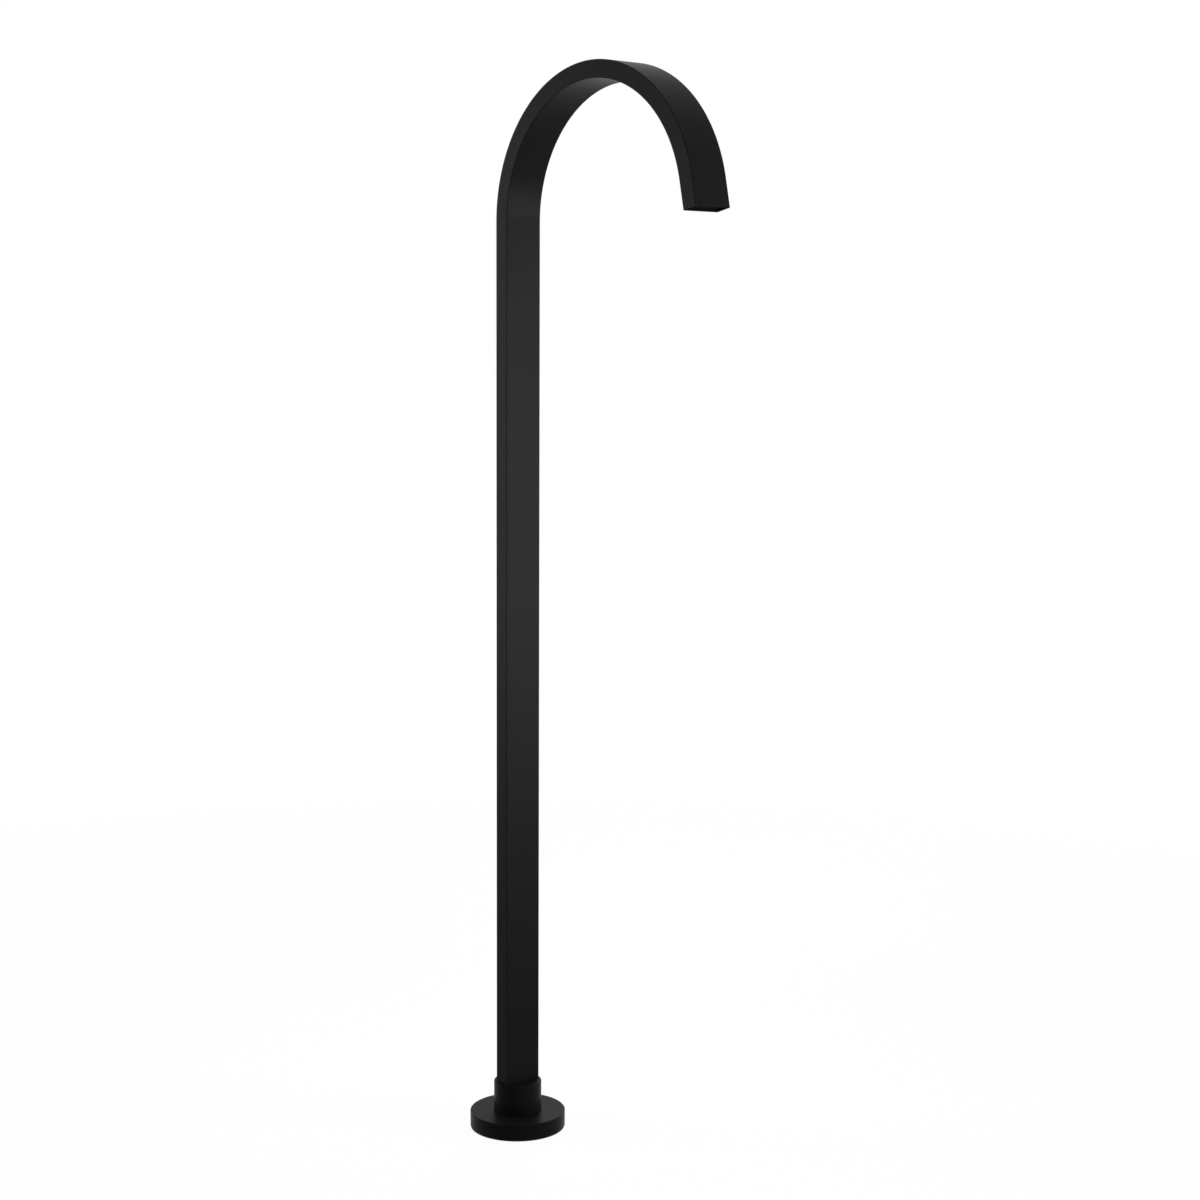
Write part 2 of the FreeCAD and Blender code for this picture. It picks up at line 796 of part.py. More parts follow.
def make_outlet_frame():
    """A brass frame brazed into the tube's end, with a lip at its top as the cartridge's seat."""
    body = new_body("outlet_frame")
    outer = inset_outline("2 * braze_gap", "tube_inner_corner")
    pad(body, "block", outer, "frame_recess", "frame_length")
    pocket(body, "waterway", inset_outline("frame_inset + 2 * frame_lip"), "frame_top", "frame_length")
    seat_depth = "frame_shoulder - frame_recess"
    pocket(body, "cartridge_seat", inset_outline("frame_inset"), "frame_shoulder", seat_depth)
    place_at_outlet(body)


def make_cartridge_housing():
    """A thin shell with a lip at its mouth, on which the honeycomb rests."""
    body = new_body("cartridge_housing")
    pad(body, "block", inset_outline("housing_inset"), "cartridge_recess", "cartridge_length")
    mouth = inset_outline("housing_bore_inset + 2 * cartridge_lip")
    pocket(body, "mouth", mouth, "housing_top", "cartridge_length")
    bore_depth = "cartridge_length - cartridge_lip_height"
    pocket(body, "bore", inset_outline("housing_bore_inset"), "housing_top", bore_depth)
    place_at_outlet(body)


def cell_rows(body, name, rows, row_length):
    """Cut every second row of the honeycomb, starting from the lowest one."""
    first_x = f"0 - ({rows} - 1) * row_pitch"
    first_y = f"0 - ({row_length} - 1) * cell_pitch / 2"
    first = pocket(
        body,
        f"{name}_cell",
        lambda sketch: hexagon(sketch, first_x, first_y, "cell_corner_radius"),
        "screen_floor",
        "core_depth",
    )
    grid_pattern(body, f"{name}_rows", first, row_length, "cell_pitch", rows, "2 * row_pitch")


def make_honeycomb():
    """The flow straightener: six-sided cells in staggered rows through a thick plate."""
    body = new_body("honeycomb_straightener")
    pad(body, "block", inset_outline("core_inset"), "core_floor", "core_depth")
    cell_rows(body, "even", "even_rows", "cells_in_row")
    if count("odd_rows") > 0:
        cell_rows(body, "odd", "odd_rows", "(cells_in_row - 1)")
    place_at_outlet(body)


def make_flow_screen():
    """A thin plate with a grid of square holes, on top of the honeycomb."""
    body = new_body("flow_screen")
    pad(body, "plate", inset_outline("core_inset"), "screen_floor", "screen_thickness")

    def first_hole(sketch):
        low_x = "0 - (screen_rows - 1) * screen_pitch / 2 - screen_hole / 2"
        low_y = "0 - (screen_columns - 1) * screen_pitch / 2 - screen_hole / 2"
        rectangle(sketch, low_x, low_y, f"{low_x} + screen_hole", f"{low_y} + screen_hole")

    first = pocket(body, "hole", first_hole, "screen_floor + screen_thickness", "screen_thickness")
    grid_pattern(
        body, "holes", first, "screen_columns", "screen_pitch", "screen_rows", "screen_pitch"
    )
    place_at_outlet(body)


def make_cartridge_seal():
    body = new_body("cartridge_seal")
    height = "frame_shoulder - cartridge_seal_gap - housing_top"
    pad(body, "block", inset_outline("housing_inset"), "housing_top", height)
    opening = inset_outline("housing_inset + 2 * cartridge_seal_width")
    pocket(body, "opening", opening, "frame_shoulder - cartridge_seal_gap", height)
    place_at_outlet(body)


# The cover: a round cap that slides on the collar and the riser


def make_cover_flange():
    """A turned cap with a groove in its bore for a ring, and one under its rim for the seal."""
    body = new_body("cover_flange")
    groove_radius = "cover_ring_radius + cover_ring / 2 + cover_ring_gap"
    groove_low, groove_high = around("cover_ring_level", "(cover_ring + 2 * ring_side_gap)")
    turn(
        body,
        "cap",
        [
            ("cover_inner_radius", "seal_thickness"),
            ("cover_radius", "seal_thickness"),
            ("cover_radius", "cover_level"),
            ("cover_bore_radius", "cover_level"),
            ("cover_bore_radius", "cover_ceiling"),
            ("cover_inner_radius", "cover_ceiling"),
        ],
    )
    turn(
        body,
        "ring_groove",
        [
            ("collar_radius", groove_low),
            (groove_radius, groove_low),
            (groove_radius, groove_high),
            ("collar_radius", groove_high),
        ],
        removes=True,
    )
    half_tongue = "tongue_width / 2 + tongue_gap"
    groove_top = "seal_thickness + tongue_height + tongue_gap"
    turn(
        body,
        "seal_groove",
        [
            (f"seal_middle_radius - ({half_tongue})", "seal_thickness"),
            (f"seal_middle_radius + {half_tongue}", "seal_thickness"),
            (f"seal_middle_radius + {half_tongue}", groove_top),
            (f"seal_middle_radius - ({half_tongue})", groove_top),
        ],
        removes=True,
    )
    dress_ring(body, "edge", "Fillet", "cover_radius", "cover_level", "cover_edge_radius")
    dress_ring(body, "lip", "Chamfer", "cover_bore_radius", "cover_level", "cover_bore_chamfer")


def make_cover_seals():
    ring("cover_o_ring", "cover_ring_radius", "cover_ring", "cover_ring_level")
    body = new_body("cover_seal")
    turn(
        body,
        "section",
        [
            ("cover_inner_radius + seal_inset", "0"),
            ("cover_radius - seal_inset", "0"),
            ("cover_radius - seal_inset", "seal_thickness"),
            ("seal_middle_radius + tongue_width / 2", "seal_thickness"),
            ("seal_middle_radius + tongue_width / 2", "seal_thickness + tongue_height"),
            ("seal_middle_radius - tongue_width / 2", "seal_thickness + tongue_height"),
            ("seal_middle_radius - tongue_width / 2", "seal_thickness"),
            ("cover_inner_radius + seal_inset", "seal_thickness"),
        ],
    )


# Checking and writing


def check_document():
    """Stop if anything failed to rebuild, or if a sub-part isn't one sound solid."""
    doc.recompute()
    for thing in doc.Objects:
        if "Invalid" in thing.State or "Error" in thing.State:
            raise RuntimeError(f"{thing.Label} failed: {thing.State}")
    for piece in nodes:
        shape = piece.Shape
        if shape.isNull() or not shape.isValid() or len(shape.Solids) != 1:
            raise RuntimeError(f"{piece.Label} isn't one sound solid")


def write_parts():
    os.makedirs("parts", exist_ok=True)
    for piece in nodes:
        piece.Shape.exportStep(os.path.join("parts", f"{piece.Label}.step"))
        print(f"{piece.Label}: {piece.Shape.Volume / 1000:.2f} cm3")


write_sheet()
make_floor_gasket()
make_floor_plate()
make_spigot()
make_swivel_rings()
make_inlet_pieces()
make_base_collar()
make_locking_screw()
make_spout_tube()
make_outlet_frame()
make_cartridge_housing()
make_honeycomb()
make_flow_screen()
make_cartridge_seal()
make_cover_flange()
make_cover_seals()
check_document()
write_parts()
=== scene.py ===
# %% [markdown]
# # A floor standing bath filler
#
# The object is a flat black tube that rises from the floor beside a bath, bends over in one large arc and
# ends in a narrow mouth. It stands in a round collar, and a round cover hides the plate that is screwed to
# the floor. The packed model gives every part its place and its size. This script gives each of them its
# finish, makes the parts whose real surface is finer than a packed solid, and sets up a photo studio.
#
# All sizes in the cells below are in millimetres, as a maker writes them. They become metres in one place
# only, where a surface is put into a mesh.

# %% Load the packed model
import json
import math

import bpy
import numpy as np
from mathutils import Matrix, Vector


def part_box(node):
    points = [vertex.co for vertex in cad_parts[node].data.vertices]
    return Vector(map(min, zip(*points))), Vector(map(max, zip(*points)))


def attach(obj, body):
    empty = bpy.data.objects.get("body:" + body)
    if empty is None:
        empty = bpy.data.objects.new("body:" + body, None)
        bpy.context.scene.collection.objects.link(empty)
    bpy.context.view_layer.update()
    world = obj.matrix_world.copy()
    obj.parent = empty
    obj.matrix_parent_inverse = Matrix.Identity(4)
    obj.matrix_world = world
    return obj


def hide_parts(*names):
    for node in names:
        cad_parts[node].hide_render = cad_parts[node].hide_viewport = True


MM = 0.001

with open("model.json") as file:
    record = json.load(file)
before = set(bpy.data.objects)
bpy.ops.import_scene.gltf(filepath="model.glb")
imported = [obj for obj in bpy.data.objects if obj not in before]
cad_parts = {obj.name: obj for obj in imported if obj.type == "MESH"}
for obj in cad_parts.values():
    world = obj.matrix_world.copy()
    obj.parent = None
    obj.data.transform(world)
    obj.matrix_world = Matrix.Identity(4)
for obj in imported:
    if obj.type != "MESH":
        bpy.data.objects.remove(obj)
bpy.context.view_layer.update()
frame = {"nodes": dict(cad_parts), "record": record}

# %% [markdown]
# ## The camera
#
# The photograph is taken from the height of a standing person's chest, a little to one side, so that both
# the broad and the narrow face of the tube show. A camera in Blender looks along its own -Z, with +X to the
# right. It could be turned by three angles, but then their order matters. Here its three axes are worked
# out as vectors and written into one matrix, which is easy to read and to check.

# %% Set up the camera
FRAME_SIDE = 1200  # pixels
FOCAL_LENGTH = 2176.99  # in the same pixels
SENSOR_WIDTH = 36.0
EYE = (1.6420, -1.29918, 0.78016)  # in metres
YAW = 0.8635  # radians, to the left of looking along +Y
PITCH = 0.1203  # downwards
ROLL = 0.0051


def camera_axes():
    """Right, up and back. Ahead is level, then tipped down by the pitch; up is right cross ahead; the roll
    turns right and up about ahead."""
    right = np.array([math.cos(YAW), math.sin(YAW), 0.0])
    level = np.array([-math.sin(YAW), math.cos(YAW), 0.0])
    ahead = math.cos(PITCH) * level + math.sin(PITCH) * np.array([0.0, 0.0, -1.0])
    up = np.cross(right, ahead)
    rolled_right = math.cos(ROLL) * right + math.sin(ROLL) * up
    rolled_up = math.cos(ROLL) * up - math.sin(ROLL) * right
    return np.column_stack([rolled_right, rolled_up, -ahead])


placing = np.eye(4)
placing[:3, :3] = camera_axes()
placing[:3, 3] = EYE
camera = bpy.data.objects.new("camera", bpy.data.cameras.new("camera"))
camera.data.sensor_width = SENSOR_WIDTH
camera.data.lens = FOCAL_LENGTH * SENSOR_WIDTH / FRAME_SIDE
camera.matrix_world = Matrix(placing.tolist())
bpy.context.scene.collection.objects.link(camera)
bpy.context.scene.camera = camera
print(f"lens {camera.data.lens:.2f} mm")

# %% [markdown]
# ## Shader maths as plain expressions
#
# A finish is a small graph of nodes. Built one call at a time it is long and hard to read, so two small
# classes help. `Wire` stands for one output socket, and adding or multiplying wires makes the Math nodes.
# `Finish` holds a material's graph, and its `node` method makes any other node: its settings first, then
# the values or wires of its sockets.

# %% The two classes
class Wire:
    """One output socket. Arithmetic on it adds a Math node to its graph."""

    def __init__(self, finish, socket):
        self.finish = finish
        self.socket = socket

    def _math(self, operation, *terms):
        sockets = dict(enumerate(terms))
        return self.finish.node("ShaderNodeMath", {"operation": operation}, sockets)

    def __add__(self, other):
        return self._math("ADD", self, other)

    def __sub__(self, other):
        return self._math("SUBTRACT", self, other)

    def __rsub__(self, other):
        return self._math("SUBTRACT", other, self)

    def __mul__(self, other):
        return self._math("MULTIPLY", self, other)

    def __pow__(self, other):
        return self._math("POWER", self, other)

    def up_to(self, other):
        """The greater of the two."""
        return self._math("MAXIMUM", self, other)

    __radd__ = __add__
    __rmul__ = __mul__


class Finish:
    """The node graph of a material or of the world."""

    def __init__(self, owner):
        owner.use_nodes = True
        self.owner = owner
        self.tree = owner.node_tree
        self.tree.nodes.clear()

    def node(self, kind, settings=None, sockets=None, output=0):
        made = self.tree.nodes.new(kind)
        for name, setting in (settings or {}).items():
            setattr(made, name, setting)
        for name, given in (sockets or {}).items():
            if isinstance(given, Wire):
                self.tree.links.new(given.socket, made.inputs[name])
            else:
                made.inputs[name].default_value = given
        return Wire(self, made.outputs[output]) if len(made.outputs) else None


def blend_colours(finish, share, first, second):
    """A colour between two, by a share from 0 to 1."""
    sockets = {0: share, 6: (*first, 1.0), 7: (*second, 1.0)}
    return finish.node("ShaderNodeMix", {"data_type": "RGBA"}, sockets, output=2)


def grain(finish, scale, detail=2.0, stretch=(1.0, 1.0, 1.0)):
    """Noise about the object's own axes, from 0 to 1, with so many grains to the metre."""
    place = finish.node("ShaderNodeTexCoord", output=3)
    if stretch != (1.0, 1.0, 1.0):
        place = finish.node("ShaderNodeVectorMath", {"operation": "MULTIPLY"}, {0: place, 1: stretch})
    return finish.node("ShaderNodeTexNoise", {}, {"Vector": place, "Scale": scale, "Detail": detail})


def shiny_surface(name, colour, roughness, height, depth, strength=1.0, **constants):
    """End a finish in the standard shader, with a bump, and give back the material."""
    finish = colour.finish
    bump = finish.node(
        "ShaderNodeBump", {}, {"Strength": strength, "Distance": depth * MM, "Height": height}
    )
    sockets = {"Base Color": colour, "Roughness": roughness, "Normal": bump}
    sockets.update({key.replace("_", " "): number for key, number in constants.items()})
    shader = finish.node("ShaderNodeBsdfPrincipled", {}, sockets)
    finish.node("ShaderNodeOutputMaterial", {}, {"Surface": shader})
    finish.owner.name = name
    return finish.owner


print("Wire has", sorted(name for name in vars(Wire) if name.startswith("__r")))

# %% [markdown]
# ## The matt black coat
#
# The tube, the collar and the cover carry the same thin black coat on brass. Seen close it isn't smooth:
# it has a fine powdery grain about a millimetre across, its gloss drifts a little from place to place, and
# along the long edges it is thinner and a touch brighter. A flat grey would look like plastic. The grain
# goes to the bump and the roughness, the drift to the colour, and an attribute named `edge`, which the new
# surfaces carry, marks the edges.
#
# A real coat has a specular level near a half. Here it is far lower, because everything that the coat
# mirrors in this studio is white, and the photograph's black needs a weak mirror. In a darker room the level
# should be raised again.

# %% Mix the black coat
COAT_DARK = (0.0175, 0.0175, 0.0185)
COAT_LIGHT = (0.0245, 0.0245, 0.0262)
COAT_EDGE = (0.034, 0.034, 0.036)
COAT_GLOSS = 0.028  # specular level


def black_coat():
    coat = Finish(bpy.data.materials.new("coat"))
    powder = grain(coat, scale=900.0)
    drift = grain(coat, scale=14.0, detail=3.0)
    edge = coat.node("ShaderNodeAttribute", {"attribute_name": "edge"}, output=2)
    plain = blend_colours(coat, 0.7 * drift + 0.3 * powder, COAT_DARK, COAT_LIGHT)
    colour = coat.node(
        "ShaderNodeMix", {"data_type": "RGBA"}, {0: 0.5 * edge, 6: plain, 7: (*COAT_EDGE, 1.0)}, output=2
    )
    roughness = 0.30 + 0.08 * drift + 0.06 * powder - 0.05 * edge
    return shiny_surface(
        "matt_black_coat", colour, roughness, powder,
        depth=0.02, strength=0.5, Specular_IOR_Level=COAT_GLOSS,
    )


coat = black_coat()
print("coat nodes:", len(coat.node_tree.nodes))

# %% [markdown]
# ## The metals under the cover
#
# The plate is stainless steel and the spigot is brass. Both come off a lathe, which leaves fine rings
# about the axis of turning. A ring is a place with one distance from the axis and one height, so the
# pattern is noise along a line: its input is the radius plus the height, and nothing else. Stretched
# noise would give straight scratches instead, which no lathe makes.

# %% Turned metal
def turned_metal(name, dark, light, roughness, rings):
    """Noise along one number, radius plus height, where the radius is the root of x squared plus y
    squared. It goes to the colour, the roughness and the bump."""
    metal = Finish(bpy.data.materials.new(name))
    place = metal.node("ShaderNodeTexCoord", output=3)
    split = metal.node("ShaderNodeSeparateXYZ", {}, {"Vector": place})
    x, y, z = (Wire(metal, socket) for socket in split.socket.node.outputs)
    radius = (x * x + y * y) ** 0.5
    cut = metal.node(
        "ShaderNodeTexNoise", {"noise_dimensions": "1D"}, {"W": radius + z, "Scale": rings, "Detail": 3.0}
    )
    stain = grain(metal, scale=60.0, detail=3.0)
    colour = blend_colours(metal, 0.5 * cut + 0.5 * stain, dark, light)
    rough = roughness + 0.12 * cut + 0.10 * stain
    return shiny_surface(name, colour, rough, cut, depth=0.01, strength=0.6, Metallic=1.0)


stainless = turned_metal("turned_stainless", (0.46, 0.46, 0.45), (0.62, 0.62, 0.61), 0.18, rings=5200.0)
brass = turned_metal("turned_brass", (0.58, 0.42, 0.19), (0.78, 0.61, 0.33), 0.16, rings=4200.0)
print("turned metals:", stainless.name, brass.name)

# %% [markdown]
# ## Sheet steel, oxide, rubber and mouldings
#
# The remaining finishes differ only in a few numbers: how dark, how rough, and how coarse their grain is.
# Rolled sheet has its grain drawn out along one direction, blackened steel is blotchy, rubber has a dull
# bloom, and a moulding shows the fine spark-eroded texture of its mould. One function makes them all.
#
# What sits in the mouth is darker and duller than bare plastic or a fresh coat would be, so its colour
# carries painted shade. The photograph shows the mouth as one dark line, and these finishes paint that shade
# into their colour.

# %% Plain finishes
def plain_finish(name, dark, light, roughness, scale, depth, stretch=(1.0, 1.0, 1.0), **constants):
    """Fine grain in the bump and the roughness, and a broad cloud in the colour."""
    finish = Finish(bpy.data.materials.new(name))
    fine = grain(finish, scale, stretch=stretch)
    cloud = grain(finish, scale=45.0, detail=3.0)
    colour = blend_colours(finish, 0.35 * fine + 0.65 * cloud, dark, light)
    rough = roughness + 0.10 * fine + 0.10 * cloud
    return shiny_surface(name, colour, rough, fine, depth, **constants)


MOUTH_GLOSS = 0.01
HONEYCOMB_GLOSS = 0.03
sheet_steel = plain_finish(
    "rolled_sheet_steel", (0.50, 0.50, 0.50), (0.68, 0.68, 0.67), 0.22, 2600.0, 0.006,
    stretch=(1.0, 0.08, 1.0), Metallic=1.0,
)
black_oxide = plain_finish(
    "blackened_steel", (0.018, 0.018, 0.020), (0.045, 0.044, 0.046), 0.32, 1500.0, 0.008, Metallic=0.6
)
# Painted shade: the coat inside the mouth is darker than the coat outside, for the shade of the recess.
mouth_coat_painted_shade = plain_finish(
    "coat_inside_the_mouth_painted_shade", (0.010, 0.010, 0.011), (0.018, 0.018, 0.019), 0.70, 900.0, 0.02,
    Specular_IOR_Level=MOUTH_GLOSS,
)
rubber = plain_finish(
    "seal_rubber", (0.010, 0.010, 0.010), (0.026, 0.026, 0.027), 0.60, 1100.0, 0.02
)
acetal = plain_finish(
    "off_white_acetal", (0.76, 0.75, 0.70), (0.86, 0.85, 0.81), 0.34, 1800.0, 0.006
)
# Painted shade: this black moulding is darker than bare black plastic, for the shade inside the mouth.
black_moulding_painted_shade = plain_finish(
    "black_moulding_painted_shade", (0.012, 0.012, 0.013), (0.022, 0.022, 0.023), 0.65, 2200.0, 0.010,
    Specular_IOR_Level=MOUTH_GLOSS,
)
# Painted shade: this grey moulding is darker than its own dark grey, for the shade inside the mouth.
grey_moulding_painted_shade = plain_finish(
    "grey_moulding_painted_shade", (0.030, 0.030, 0.032), (0.050, 0.050, 0.053), 0.60, 2200.0, 0.010,
    Specular_IOR_Level=HONEYCOMB_GLOSS,
)
# Painted shade: the lip of the tube is darker than the coat, so that it joins the mouth's dark line.
tube_lip_painted_shade = plain_finish(
    "painted_shade_on_the_tube_lip", (0.010, 0.010, 0.011), (0.018, 0.018, 0.019), 0.75, 1400.0, 0.03,
    Specular_IOR_Level=0.0,
)
print("finishes:", len(bpy.data.materials))

# %% [markdown]
# ## Surfaces as arrays
#
# Every new piece is a closed surface: a grid of points that closes on itself in both directions, like the
# skin of a ring. One direction runs round the piece and the other runs round its section. So the same two
# functions serve them all. The first lists the four-sided faces between neighbouring points. The second
# puts the points into a mesh, and turns the faces round if the volume inside comes out negative, so that
# they always point outwards.

# %% From a grid to a mesh
def grid_faces(rows, columns, closed_rows=True):
    """Faces with the corners (row, column), (row, next), (next, next) and (next, column)."""
    row, column = np.meshgrid(
        np.arange(rows if closed_rows else rows - 1), np.arange(columns), indexing="ij"
    )
    next_row = (row + 1) % rows
    next_column = (column + 1) % columns
    corners = [
        row * columns + column,
        row * columns + next_column,
        next_row * columns + next_column,
        next_row * columns + column,
    ]
    return np.stack(corners, axis=-1).reshape(-1, 4)


def volume_inside(points, faces):
    """A sixth of the sum of each face's first corner dotted with the cross product of its diagonals."""
    a, b, c, d = (points[faces[:, corner]] for corner in range(4))
    return np.einsum("ij,ij->", a, np.cross(c - a, d - b)) / 6


def add_surface(name, points, faces, normals=None):
    """Make an object of a closed surface that is given in millimetres."""
    if volume_inside(points, faces) < 0:
        faces = faces[:, ::-1]
    mesh = bpy.data.meshes.new(name)
    mesh.from_pydata((points * MM).tolist(), [], faces.tolist())
    mesh.polygons.foreach_set("use_smooth", np.ones(len(faces), dtype=bool))
    if normals is not None:
        mesh.normals_split_custom_set_from_vertices(normals.tolist())
    piece = bpy.data.objects.new(name, mesh)
    bpy.context.scene.collection.objects.link(piece)
    return piece


def dress(piece, material, slot, body, *nodes):
    """Finish a new piece, let it ride on its body, and let it stand for its packed nodes."""
    piece.data.materials.append(material)
    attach(piece, body)
    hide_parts(*nodes)
    ends = np.array([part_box(node) for node in nodes]) / MM
    place = np.array([vertex.co for vertex in piece.data.vertices]) / MM
    outside = max((ends[:, 0].min(0) - place.min(0)).max(), (place.max(0) - ends[:, 1].max(0)).max())
    print(f"{piece.name}: {len(piece.data.polygons)} faces, {outside:.3f} mm outside its packed box")


# %% [markdown]
# ## Sections with round corners
#
# Nothing that is cast, turned or moulded has a truly sharp edge: each has a small radius that catches the
# light in a thin line. A Bevel modifier could add it, but here the sections are known, so the round
# corners are worked out. Each corner becomes a short arc, and the arc's own direction gives the exact
# normal, which keeps the flat faces between the arcs perfectly flat in the render. One more point on each
# side of the arc ends the mark that the black coat reads as `edge`.

# %% Round the corners of a section
ARC_STEPS = 6
MARK_REACH = 0.9  # how far the edge's mark fades out over the flats


def rounded(corners, radii):
    """Round a closed polygon. The arc at a corner starts and ends where it touches the two sides, at the
    radius times the tangent of half the turning angle. Its normal turns evenly from the first side's to
    the second side's, and its points are the centre plus the radius times the normal."""
    corners = np.asarray(corners, dtype=float)
    side = np.roll(corners, -1, axis=0) - corners
    length = np.linalg.norm(side, axis=1)
    ahead = side / length[:, None]
    before = np.roll(ahead, 1, axis=0)
    turning = np.arctan2(
        before[:, 0] * ahead[:, 1] - before[:, 1] * ahead[:, 0], (before * ahead).sum(axis=1)
    )
    run = radii * np.tan(np.abs(turning) / 2)
    spare = (length - run - np.roll(run, -1)) / 3
    fade_ahead = np.minimum(MARK_REACH, spare)
    fade_before = np.roll(fade_ahead, 1)
    bulge = (np.sign(turning) * radii)[:, None]
    first = np.column_stack([before[:, 1], -before[:, 0]])
    centre = corners - before * run[:, None] - first * bulge
    share = np.concatenate([[0.0], np.linspace(0.0, 1.0, ARC_STEPS), [1.0]])
    angle = turning[:, None] * share
    cosine, sine = np.cos(angle), np.sin(angle)
    normal = np.stack(
        [
            first[:, :1] * cosine - first[:, 1:] * sine,
            first[:, :1] * sine + first[:, 1:] * cosine,
        ],
        axis=-1,
    )
    points = centre[:, None, :] + normal * bulge[:, None, :]
    points[:, 0] -= before * fade_before[:, None]
    points[:, -1] += ahead * fade_ahead[:, None]
    marks = np.tile(np.concatenate([[0.0], np.ones(ARC_STEPS), [0.0]]), len(corners))
    return points.reshape(-1, 2), normal.reshape(-1, 2), marks


def revolve(pairs, turns):
    """Carry pairs of (radius, height) round the axis: x is the radius times the cosine, y is the radius
    times the sine, and the height stays."""
    angle = np.linspace(0.0, 2 * np.pi, turns, endpoint=False)[:, None]
    across, up = pairs[None, :, 0], pairs[None, :, 1]
    placed = [across * np.cos(angle), across * np.sin(angle), up + 0 * angle]
    return np.stack(placed, axis=-1).reshape(-1, 3)


def turned_piece(name, corners, radii, turns):
    """A ring-shaped piece from its section, as it would come off a lathe."""
    section, normals, marks = rounded(corners, np.asarray(radii, dtype=float))
    faces = grid_faces(turns, len(section))
    piece = add_surface(name, revolve(section, turns), faces, revolve(normals, turns))
    mark_edges(piece, np.tile(marks, turns))
    return piece


def mark_edges(piece, marks):
    """Write how near each point is to an edge, from 0 to 1."""
    attribute = piece.data.attributes.new("edge", "FLOAT", "POINT")
    attribute.data.foreach_set("value", np.asarray(marks, dtype=np.float32))


unit_square = [(0, 0), (1, 0), (1, 1), (0, 1)]
print("a rounded square has", len(rounded(unit_square, np.full(4, 0.2))[0]), "points")

# %% [markdown]
# ## The flat tube
#
# The riser, the arch and the outlet are one brass tube of flat section. It is drawn straight, filled, bent
# in a press and coated. A curve with a bevel profile could show it, but a wall needs an inside too: at
# the mouth one looks into the tube. So the wall itself is carried along the line. A ring of the wall is a
# rounded rectangle, drawn in from the outer skin by some amount. Going up the outside, over the lip of the
# mouth, back down the inside and over the foot gives one closed surface.

# %% The tube's middle line
TUBE_WIDTH = 40.5
TUBE_DEPTH = 16.5
TUBE_WALL = 1.5
OUTER_CORNER = 0.8
INNER_CORNER = 0.6
TUBE_FOOT = 37.0
BEND_LEVEL = 888.0
BEND_RADIUS = 129.0
BEND_LENGTH = BEND_RADIUS * math.radians(168.0)
OUTLET_STRAIGHT = 26.0
MOUTH = BEND_LENGTH + OUTLET_STRAIGHT  # distance from the start of the bend


def along_the_tube(distance):
    """The place and the lean of the middle line at a distance from the start of the bend. In the bend the
    lean is the distance divided by the radius, x is the radius times one minus the cosine, and z is the
    radius times the sine. What is left over before or after the bend goes straight along the lean."""
    bent = np.clip(distance, 0.0, BEND_LENGTH)
    lean = bent / BEND_RADIUS
    straight = distance - bent
    x = BEND_RADIUS * (1 - np.cos(lean)) + straight * np.sin(lean)
    z = BEND_LEVEL + BEND_RADIUS * np.sin(lean) + straight * np.cos(lean)
    return x, z, lean


mouth_x, mouth_z, mouth_lean = along_the_tube(MOUTH)
print(f"the mouth is {mouth_x:.2f} out, {mouth_z:.2f} up, leaning {math.degrees(mouth_lean):.1f} degrees")

# %% Carry the wall along the line
CORNER_STEPS = 8


def flat_outline(depth, width, corner):
    """Rounded rectangles, one for each given size. A corner's points are its centre plus the radius times
    a direction that turns through a quarter. One more point at each end lies a little along the side."""
    share = np.concatenate([[0.0], np.linspace(0.0, 1.0, CORNER_STEPS), [1.0]])
    slide = np.concatenate([[-MARK_REACH], np.zeros(CORNER_STEPS), [MARK_REACH]])
    angle = ((np.arange(4)[:, None] + share) * np.pi / 2).ravel()
    normal = np.column_stack([np.cos(angle), np.sin(angle)])
    tangent = np.column_stack([-normal[:, 1], normal[:, 0]])
    quadrant = np.repeat([(1, 1), (-1, 1), (-1, -1), (1, -1)], len(share), axis=0)
    half = np.stack([depth, width], axis=-1)[:, None, :] / 2
    corner = corner[:, None, None]
    points = quadrant * (half - corner) + corner * normal + np.tile(slide, 4)[:, None] * tangent
    marks = np.tile(slide == 0, 4).astype(float)
    return points, normal, marks


def flat_wall(name, depth, width, wall, corners, lip, foot, mouth, stations):
    """Carry a wall along the tube's line, from its foot to its mouth. Its section is a rounded polygon of
    pairs: how far out from the outer skin, and how far along the line."""
    ends = [(-wall, foot), (0.0, foot), (0.0, mouth), (-wall, mouth)]
    turn, turn_normal, _ = rounded(ends, np.full(4, lip))
    half = len(turn) // 2
    up = np.column_stack([0 * stations, stations])
    down = np.column_stack([0 * stations - wall, stations[::-1]])
    outward = np.tile([1.0, 0.0], (len(stations), 1))
    ring = np.concatenate([turn[:half], up, turn[half:], down])
    ring_normal = np.concatenate([turn_normal[:half], outward, turn_normal[half:], -outward])
    out, distance = ring.T
    corner = corners[0] + (corners[0] - corners[1]) * out / wall
    outline, direction, corner_marks = flat_outline(depth + 2 * out, width + 2 * out, corner)
    x, z, lean = (value[:, None] for value in along_the_tube(distance))

    def into_space(across, sideways, forward):
        return np.stack(
            [
                across * np.cos(lean) + forward * np.sin(lean),
                sideways,
                forward * np.cos(lean) - across * np.sin(lean),
            ],
            axis=-1,
        )

    points = into_space(outline[..., 0], outline[..., 1], 0.0)
    points[..., 0] += x
    points[..., 2] += z
    outwards, forwards = ring_normal[:, :1], ring_normal[:, 1:]
    normals = into_space(
        outwards * direction[:, 0], outwards * direction[:, 1], forwards + 0 * direction[:, 0]
    )
    faces = grid_faces(len(ring), len(direction))
    piece = add_surface(name, points.reshape(-1, 3), faces, normals.reshape(-1, 3))
    at_lip = (np.abs(distance - mouth) < MARK_REACH) & (out > -wall)
    marks = np.maximum(at_lip[:, None], (out == 0)[:, None] * corner_marks)
    mark_edges(piece, marks.ravel())
    return piece


